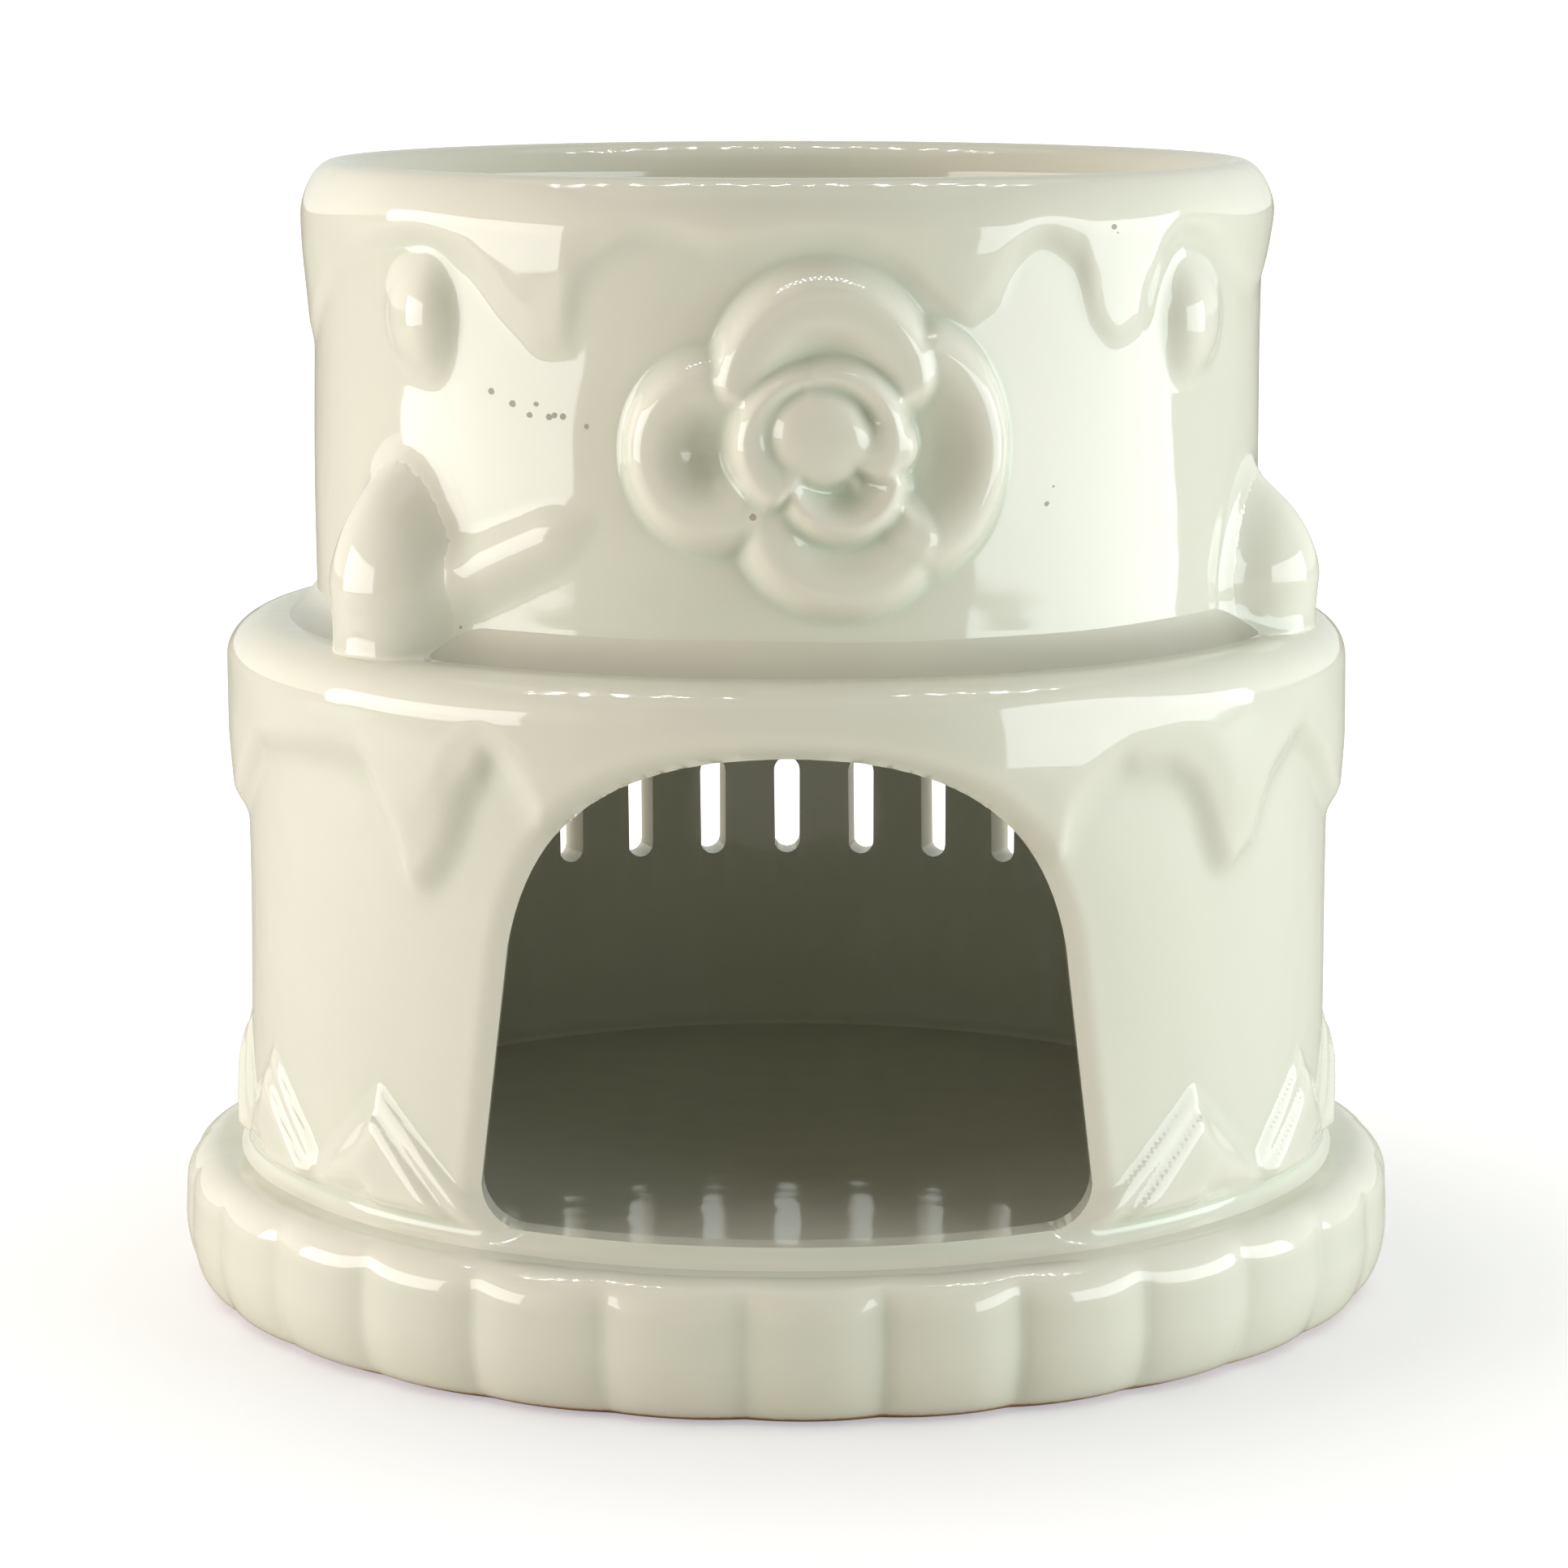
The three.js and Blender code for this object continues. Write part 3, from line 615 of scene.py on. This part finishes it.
def cut(piece, cutter):
    """Takes the cutter's shape out of the piece and removes the cutter."""
    bpy.ops.object.select_all(action="DESELECT")
    bpy.context.view_layer.objects.active = piece
    piece.select_set(True)
    saw = piece.modifiers.new("cut", "BOOLEAN")
    saw.operation, saw.solver, saw.object = "DIFFERENCE", "MANIFOLD", cutter
    bpy.ops.object.modifier_apply(modifier=saw.name)
    bpy.data.objects.remove(cutter)
    piece.data.materials.clear()


vent_count = 9
vent_pitch = 9.5
vent_foot = board_top + 19
candle_width = 2.8
candle_height = 10.6
flame_width = 3.2
flame_height = 4.4
flame_gap = 1.6
flame_shoulder = 27
candle_half = candle_width / 2
candle_outline = arc((0, vent_foot + candle_half), candle_half, candle_half, 180, 360, 8) + arc(
    (0, vent_foot + candle_height - candle_half), candle_half, candle_half, 0, 180, 8
) + [(-candle_half, vent_foot + candle_height - candle_half)]
flame_foot = vent_foot + candle_height + flame_gap
flame_half = flame_width / 2
flame_outline = [(0, flame_foot + flame_height)] + arc(
    (0, flame_foot + flame_half), flame_half, flame_half,
    180 - flame_shoulder, 360 + flame_shoulder, 14,
) + [(flame_half * math.cos(math.radians(flame_shoulder)), flame_foot + flame_half * 1.45)]

lower = turned("glazed_lower_tier", lower_section, lower_columns)
press(lower, lower_relief)
cut(lower, extruded("arch", arch_outline, 70))
vents = []
for vent in range(vent_count):
    turn = math.radians(180 + (vent - (vent_count - 1) / 2) * vent_pitch)
    for outline in (candle_outline, flame_outline):
        block = extruded("vent", outline, 3 * lower_wall)
        block.data.transform(Matrix.Translation((0, -(wall_inside - lower_wall) * mm, 0)))
        block.data.transform(Matrix.Rotation(turn, 4, "Z"))
        vents.append(block)
bpy.ops.object.select_all(action="DESELECT")
for block in vents:
    block.select_set(True)
bpy.ops.object.join()
cut(lower, bpy.context.object)
pool_glaze(lower, 8)
bpy.ops.object.shade_smooth_by_angle(angle=math.radians(48))
glaze = glaze_finish("glaze", -1.0)
lower.data.materials.append(glaze)
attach(lower, "root")
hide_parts("lower_tier", "lower_icing", "pointed_border")

# The upper tier with its icing, rose, pearls and stem, and the oil dish
# The wall runs on over the lip into the dish, in one skin of glaze.
# Rose, pearls and stem are raised in the mould, so none of them is undercut.
lip_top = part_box("oil_dish")[1].z / mm
lip_middle = 43.8
icing_proud = 0.95
lip_shoulder = 5.2
lip_inner_round = 3.6
dish_inside = 41.2
dish_floor = lip_top - 25
dish_floor_radius = 16
dish_rise = 12
dish_under = dish_floor - 3
upper_inside = 43.3
upper_columns = 560
upper_cove = 3.2
upper_icing_top = lip_top - 4
upper_icing_skin = (1.2, 0.25, 2.4, 9.0, 0.4)
upper_drip_length = 12.1
upper_icing_edge = [
    (-153, 0.94), (-131, 0.2), (-112, 0.73), (-100, 0.26), (-84, 1.1), (-66, 0.5), (-47, 0.24),
    (-40, 0.4), (-34.8, 0.73), (-28.7, 1), (-25.2, 0.96), (-23.5, 0.55), (-21, 0.31),
    (-15, 0.13), (-7.2, 0.27), (5, 0.14), (11, 0.27), (16.4, 0.6), (20.8, 0.75), (24.8, 0.64),
    (27.3, 0.33), (30.2, 0.2), (34, 0.35), (36, 0.74), (40.5, 0.96), (45.2, 0.89), (47.6, 0.54),
    (52, 0.21), (76, 0.71), (98, 0.21), (116, 0.95), (134, 0.2), (156, 0.86), (177, 0.18),
]
pearls = {"pearl_left": (-45, 96.9), "pearl_right": (53, 96.2), "pearl_back": (-177, 96.3)}
pearl_inner_width = 3.6
pearl_outer_width = 6.6
pearl_half_height = 5.7
pearl_height = 2.2
pearl_melt = 1.0
stem_angle = -33.5
stem_height_place = shelf_top + 9.6
stem_slope = 24
stem_half_length = 4.6
stem_half_width = 2.9
stem_height = 1.35
stem_taper = 0.035
stem_taper_length = 15
stem_end = 3.6
stem_melt = 1.5
rose_angle = 3.6
rose_height_place = shelf_top + 20.3

# Each petal: the ellipse it lies in (middle across and up, half width, half height), the
# sector it fills round the rose's middle, its crest, its hollow and where it sinks into it
petals = [
    ((-9.2, -0.4, 8.6, 9.4), (112, 244), 2.7, 2.6, (3.6, 9.0)),
    ((7.6, -0.2, 9.9, 12.2), (-60, 58), 2.9, 3.0, (3.2, 10.0)),
    ((2.0, -6.6, 9.7, 9.1), (204, 334), 2.8, 1.7, (3.8, 8.2)),
    ((0.4, 4.6, 10.6, 12.2), (22, 158), 3.6, 2.2, (4.6, 8.8)),
    ((-1.4, 0.6, 7.3, 8.0), (90, 240), 4.95, 0.4, (2.6, 5.4)),
    ((1.2, 1.1, 7.3, 8.0), (-34, 114), 5.0, 0.5, (2.6, 5.4)),
    ((1.7, -2.2, 6.7, 7.1), (198, 350), 4.5, 3.3, (2.2, 6.2)),
]
rim_width = 2.8
sector_fall = 6
wall_below_rose = -3.0
heart_middle = (-0.2, 1.6)
heart_radius = 4.1
heart_height = 5.5
bridge_end = (5.4, 0.4)
bridge_radius = 2.7
bridge_height = 4.9

# The groove that winds round the heart starts below it and deepens as it runs on clockwise
groove_start = 250
groove_share = 1.02
groove_depth = 0.95
groove_width = 0.75
petal_melt = 1.0
heart_melt = 0.5
rose_melt = 0.9
rose_half_width = 22
rose_half_height = 20
fine_half_width = 20.5
fine_half_height = 18.2


def petal_relief(across, up, ellipse, sector, crest, hollow, sinks):
    """A petal with a round rim that sinks away inwards, and right away outside its sector."""
    middle_across, middle_up, half_width, half_height = ellipse
    first, last = sector
    share = np.hypot((across - middle_across) / half_width, (up - middle_up) / half_height)
    inside = (1 - share) * (half_width + half_height) / 2
    rise = np.where(inside < rim_width, np.sin(np.pi / 2 * np.clip(inside / rim_width, -1, 1)), 1)
    turn = np.degrees(np.arctan2(up, across))
    off = np.abs((turn - (first + last) / 2 + 180) % 360 - 180) - (last - first) / 2
    sunk = hollow * ease(inside, *sinks)
    return crest * rise - sunk - sector_fall * ease(off, -14, 16)


def rose_relief(across, up):
    """The rose's height over the wall, from its outer petals in to the rolled heart."""
    relief = np.full(len(across), wall_below_rose)
    for petal in petals:
        relief = melted(relief, petal_relief(across, up, *petal), petal_melt)
    from_left, from_foot = across - heart_middle[0], up - heart_middle[1]
    reach = np.hypot(from_left, from_foot) / heart_radius
    heart = heart_height * (1 - 0.1 * reach**2 - 0.14 * reach**6)
    bridge = np.minimum(way_to(heart_middle, bridge_end, across, up) / bridge_radius, 2)
    bridge = bridge_height * (1 - 0.4 * bridge**4)
    heart = melted(np.maximum(heart, wall_below_rose), bridge, 0.8)
    relief = melted(relief, heart, heart_melt)
    along = (groove_start - np.degrees(np.arctan2(from_foot, from_left))) % 360
    fade = ease(along, 0, 60) * (0.35 + 0.65 * ease(along, 90, 150)) * (1 - ease(along, 215, 275))
    groove = np.exp(-(((reach - groove_share) * heart_radius / groove_width) ** 2))
    return relief - groove_depth * fade * groove


# Each berry's place round the wall, its radius and its height
berries = {
    "berry_left": (-50, 7.4, 17.0),
    "berry_right": (73.5, 7.3, 14.1),
    "berry_back": (-170, 7.2, 16.0),
}
berry_inset = 0.4
berry_melt = 3.6
berry_lift = berry_melt / 3
berry_sink = 0.04
berry_reach = 18
berry_clear_above = 4
gather_rounds = 6

# A berry's section, as shares of its radius and its height
berry_outline = [
    (0.985, -0.02), (0.975, 0.006), (0.965, 0.03), (0.96, 0.075), (0.962, 0.15), (0.977, 0.24),
    (0.997, 0.33), (1.0, 0.37), (0.988, 0.43), (0.963, 0.485), (0.92, 0.55), (0.855, 0.635),
    (0.765, 0.72), (0.65, 0.805), (0.5, 0.89), (0.31, 0.957), (0.1, 0.995),
]


def berry_gap(berry, across, along, height):
    """How far points lie outside a berry, or inside it when below 0."""
    angle, radius, rise = berry
    turn = math.radians(angle)
    axis = upper_radius - berry_inset
    out = np.hypot(across - axis * math.sin(turn), along + axis * math.cos(turn))
    side = [(share * radius, shelf_top + up * rise) for share, up in berry_outline[3:]]
    side = [(side[0][0], shelf_top - 2)] + side + [(0, shelf_top + rise)]
    gap = np.full(len(out), far_off)
    for start, end in zip(side, side[1:]):
        gap = np.minimum(gap, way_to(start, end, out, height))
    width = np.interp(height, [z for _, z in side], [r for r, _ in side], right=0)
    return np.where((out < width) & (height < shelf_top + rise), -gap, gap)


def leaned_on(outer, angle, height):
    """Raises the wall's skin into the corner round each berry, as wet glaze gathers there."""
    turn = np.radians(angle)
    for berry in berries.values():
        near = np.abs((angle - berry[0] + 180) % 360 - 180) < berry_reach
        near &= height < shelf_top + berry[2] + berry_clear_above
        lift = np.zeros(near.sum())
        for _ in range(gather_rounds):
            radius = outer[near] + lift
            across, along = radius * np.sin(turn[near]), -radius * np.cos(turn[near])
            gap = berry_gap(berry, across, along, height[near])
            lift = np.clip(lift + melted(-lift, -gap, berry_melt), 0, berry_lift)
        outer[near] += lift - berry_sink * (gap < lift)
    return outer


def bare_wall(angle, radius, height):
    """The upper tier's outside before the berries lean on it."""
    relief = icing_height(
        upper_icing_edge, upper_icing_top, upper_drip_length, upper_icing_skin,
        angle, height, upper_radius,
    )
    for pearl_angle, pearl_place in pearls.values():
        across = upper_radius * np.radians((angle - pearl_angle + 180) % 360 - 180)
        away = across * math.copysign(1, pearl_angle) > 0
        width = np.where(away, pearl_outer_width, pearl_inner_width)
        share = np.hypot(across / width, (height - pearl_place) / pearl_half_height)
        relief = melted(relief, pearl_height * (1 - np.minimum(share, 1.5) ** 2), pearl_melt)
    across = upper_radius * np.radians(angle - stem_angle)
    up = height - stem_height_place
    slope = math.radians(stem_slope)
    along = across * math.cos(slope) + up * math.sin(slope)
    aside = up * math.cos(slope) - across * math.sin(slope)
    past = np.maximum(np.abs(along) - stem_half_length, 0)
    taper = 1 - stem_taper * np.clip(along + stem_half_length, 0, stem_taper_length)
    share = np.hypot(aside / (stem_half_width * (0.4 + 0.6 * taper)), past / stem_end)
    stem = stem_height * taper * (1 - np.minimum(share, 1.6) ** 2)
    relief = melted(relief, stem, stem_melt)
    across = upper_radius * np.radians(angle - rose_angle)
    up = height - rose_height_place
    near = (np.abs(across) < rose_half_width) & (np.abs(up) < rose_half_height)
    rose = np.full(len(angle), wall_below_rose)
    rose[near] = rose_relief(across[near], up[near])
    relief = melted(relief, rose, rose_melt)
    relief = relief + coved(height, shelf_top, upper_cove)
    fade = 1 - ease(height, lip_top - lip_shoulder, lip_top - 1)
    return radius + (relief - icing_proud) * fade + settled(angle, height)


def upper_relief(angle, radius, height):
    """The upper tier's outside with the corners round the berries, and the dish left round."""
    outer = leaned_on(bare_wall(angle, radius, height), angle, height)
    return np.where(radius > lip_middle, outer, radius)


upper_outside = upper_radius + icing_proud
upper_foot = shelf_top - 0.5
upper_cove_rows_top = shelf_top + 2.5
upper_section = (
    line((upper_outside, upper_foot), (upper_outside, upper_cove_rows_top), 10)
    + line((upper_outside, upper_cove_rows_top), (upper_outside, lip_top - lip_shoulder), 74)
    + arc(
        (lip_middle, lip_top - lip_shoulder), upper_outside - lip_middle, lip_shoulder, 0, 90, 14
    )
    + arc(
        (lip_middle, lip_top - lip_inner_round),
        lip_middle - dish_inside, lip_inner_round, 90, 180, 8,
    )
    + line((dish_inside, lip_top - lip_inner_round), (dish_inside, dish_floor + dish_rise), 5)
    + arc(
        (dish_floor_radius, dish_floor + dish_rise),
        dish_inside - dish_floor_radius, dish_rise, 0, -90, 10,
    )
    + line((dish_floor_radius, dish_floor), (1, dish_floor), 4)
    + [(0, dish_floor), (0, dish_under)]
    + line((1, dish_under), (dish_floor_radius, dish_under), 3)
    + arc(
        (dish_floor_radius, dish_under + dish_rise),
        upper_inside - 0.8 - dish_floor_radius, dish_rise, -90, -8, 7,
    )
    + line((upper_inside, dish_floor + 6), (upper_inside, upper_foot), 4)
)

upper = turned("glazed_upper_tier", upper_section, upper_columns)

# The faces where the rose will be are split in four before they are pressed
bpy.ops.object.mode_set(mode="EDIT")
bpy.ops.mesh.select_mode(type="FACE")
bpy.ops.mesh.select_all(action="DESELECT")
bpy.ops.object.mode_set(mode="OBJECT")
for face in upper.data.polygons:
    middle = face.center / mm
    across = upper_radius * (math.atan2(middle.x, -middle.y) - math.radians(rose_angle))
    on_rose = abs(across) < fine_half_width and abs(middle.z - rose_height_place) < fine_half_height
    face.select = on_rose and math.hypot(middle.x, middle.y) > upper_radius
bpy.ops.object.mode_set(mode="EDIT")
bpy.ops.mesh.subdivide(number_cuts=1)
bpy.ops.object.mode_set(mode="OBJECT")
press(upper, upper_relief)
pool_glaze(upper, 10)
bpy.ops.object.shade_smooth()
upper.data.materials.append(glaze)
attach(upper, "root")
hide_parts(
    "upper_tier", "upper_icing", "oil_dish", "berry_stem", "pearl_left", "pearl_right",
    "pearl_back", "rose_heart", "rose_inner_left", "rose_inner_right", "rose_cup",
    "rose_outer_top", "rose_outer_left", "rose_outer_bottom", "rose_outer_right",
)

# The berries
# Three egg-shaped berries stand on the shelf and lean on the upper tier.
# They are pressed on as damp clay, and the glaze fills the corner round each foot.
berry_columns = 128
berry_foot = shelf_top - 0.4


def gather_glaze(piece):
    """Moves a berry's skin out where it nears the wall, on to the same soft corner."""
    points, normals = points_of(piece), normals_of(piece)
    lift = np.zeros(len(points))
    for _ in range(gather_rounds):
        across, along, height = (points + normals * lift[:, None]).T
        radius = np.hypot(across, along)
        angle = np.degrees(np.arctan2(across, -along))
        wall = radius - bare_wall(angle, np.full(len(points), upper_outside), height)
        lift = np.clip(lift + melted(-wall, -lift, berry_melt), 0, berry_lift)
    move_to(piece, points + normals * (lift - berry_sink * (wall < lift))[:, None])


for name, (angle, radius, height) in berries.items():
    section = [(across * radius, shelf_top + up * height) for across, up in berry_outline]
    section += [(0, shelf_top + height), (0, berry_foot)]
    berry = turned("glazed_" + name, section, berry_columns)
    bpy.ops.object.mode_set(mode="EDIT")
    bpy.ops.mesh.select_all(action="SELECT")
    turn = math.radians(angle)
    reach = (upper_radius - berry_inset) * mm
    bpy.ops.transform.translate(value=(reach * math.sin(turn), -reach * math.cos(turn), 0))
    bpy.ops.object.mode_set(mode="OBJECT")
    smooth = berry.modifiers.new("smooth", "SUBSURF")
    smooth.levels = smooth.render_levels = 1
    bpy.ops.object.modifier_apply(modifier=smooth.name)
    gather_glaze(berry)
    pool_glaze(berry, 4)
    bpy.ops.object.shade_smooth()
    berry.data.materials.append(glaze)
    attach(berry, "root")
    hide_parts(name)

# The table, the light and the camera
# A white table whose glow is dimmed round the foot as a painted shadow, two soft boxes low at the
# sides, a soft light above and a weak one in front.
# A double row of small lamps overhead gives the glints on lip, shelf and board.
# The camera stands where the photograph was taken from, a little above the object.
table_white = (0.68, 0.66, 0.61, 1)
# Painted shadow: next to the object the table glows with this dimmer, bluish colour, centred a
# little to the object's right, and white further off
painted_shadow_glow = (0.335, 0.345, 0.4, 1)
painted_shadow_middle = (0.008, -0.006, 0)
painted_shadow_start = 0.055
painted_shadow_rise = 8.0
black = (0, 0, 0, 1)
pure_white = (1, 1, 1, 1)

bpy.ops.object.select_all(action="DESELECT")
bpy.ops.mesh.primitive_plane_add(size=40)
table = bpy.context.object
table.name = "table"
white = bpy.data.materials.new("white_table_with_painted_shadow")
white.use_nodes = True
table_shader = white.node_tree.nodes["Principled BSDF"]
table_shader.inputs["Base Color"].default_value = table_white
table_shader.inputs["Roughness"].default_value = 0.8
table_shader.inputs["Specular IOR Level"].default_value = 0
table_shader.inputs["Emission Strength"].default_value = 1
start = Socket(white.node_tree)
place = start.node("TexCoord", {}, {}, "Object")
# Painted shadow: for the camera the table's glow rises from the dim colour round the foot to white
# further away
away = start.node("VectorMath", {"operation": "DISTANCE"}, {0: place, 1: painted_shadow_middle}, "Value")
away = start.maths("MULTIPLY", away - painted_shadow_start, painted_shadow_rise, clamp=True)
seen = start.node("LightPath", {}, {}, "Is Camera Ray")
glow_with_painted_shadow = mixed(seen, black, mixed(away, painted_shadow_glow, pure_white))
white.node_tree.links.new(glow_with_painted_shadow.output, table_shader.inputs["Emission Color"])
table.data.materials.append(white)


def lamp(name, place, facing, size, power, colour):
    """A rectangular light at a place in metres, which shines down unless it is turned."""
    bpy.ops.object.light_add(type="AREA", location=place, rotation=facing)
    made = bpy.context.object
    made.name = name
    made.data.shape = "RECTANGLE"
    made.data.size, made.data.size_y = size
    made.data.energy = power
    made.data.color = colour
    return made


def soft_box(name, azimuth, distance, height, size, power, colour):
    """A light that stands round the object and faces its axis."""
    turn = math.radians(azimuth)
    place = (distance * math.sin(turn), -distance * math.cos(turn), height)
    return lamp(name, place, (math.radians(90), 0, turn), size, power, colour)


small_lamp_count = 30
small_lamp_pitch = 0.026
small_lamp_wander = 0.007
small_lamp_height = 0.74
small_lamp_row = 0.03
small_lamp_row_gap = 0.06

soft_box("soft_box_left", -74.5, 0.42, 0.108, (0.40, 0.194), 1.0, (1.0, 0.985, 0.98))
soft_box("soft_box_right", 72, 0.42, 0.105, (0.485, 0.20), 1.18, (0.91, 0.99, 1.0))
lamp("soft_light_above", (0, 0, 0.75), (0, 0, 0), (0.8, 0.8), 1.15, (0.9, 1.0, 0.97))
low = soft_box("soft_light_low", 0, 0.34, 0.03, (0.1, 0.03), 0.03, (0.94, 1.0, 0.8))
low.visible_glossy = low.visible_camera = False
for count in range(small_lamp_count):
    across = (count - (small_lamp_count - 1) / 2) * small_lamp_pitch
    across += small_lamp_wander * math.sin(2.4 * count)
    along = small_lamp_row + small_lamp_row_gap * (count % 2)
    place = (across, along, small_lamp_height)
    small = lamp("small_light", place, (0, 0, 0), (0.008, 0.02), 0.05, pure_white[:3])
    small.visible_diffuse = False

# The room that the glaze mirrors: dark in front, light at both sides and behind
room_front = (0.057, 0.045, 0.01, 1)
room_left = (1.3, 1.15, 1.0, 1)
room_right = (0.9, 0.87, 0.84, 1)
room_behind = (0.65, 0.7, 0.68, 1)

world = bpy.data.worlds.new("studio")
bpy.context.scene.world = world
world.use_nodes = True
air = world.node_tree
start = Socket(air)
across = start.node("SeparateXYZ", {}, {0: start.node("TexCoord", {}, {}, "Generated")}, "X")
behind = Socket(air, across.output.node.outputs["Y"])
left = start.maths("MULTIPLY", across, -1, clamp=True)
right = start.maths("MULTIPLY", across, 1, clamp=True)
behind = start.maths("MULTIPLY", behind, 1, clamp=True)
room = mixed(left * left, room_front, room_left, "ADD")
room = mixed(right * right, room, room_right, "ADD")
room = mixed(behind, room, room_behind, "ADD")
room = mixed(start.node("LightPath", {}, {}, "Is Camera Ray"), room, pure_white)
air.links.new(room.output, air.nodes["Background"].inputs["Color"])

camera_distance = 0.47363
camera_height = 0.12926
camera_pitch = 9.703
frame_pixels = 1932
focal_pixels = 5963.4
axis_pixel = 969.5
film_width = 36
bpy.ops.object.camera_add(
    location=(0, -camera_distance, camera_height),
    rotation=(math.radians(90 - camera_pitch), 0, 0),
)
camera = bpy.context.object
camera.data.sensor_width = film_width
camera.data.lens = film_width * focal_pixels / frame_pixels
camera.data.shift_x = (frame_pixels / 2 - axis_pixel) / frame_pixels
camera.data.clip_start = 0.02
bpy.context.scene.camera = camera
bpy.context.scene.view_settings.view_transform = "Standard"
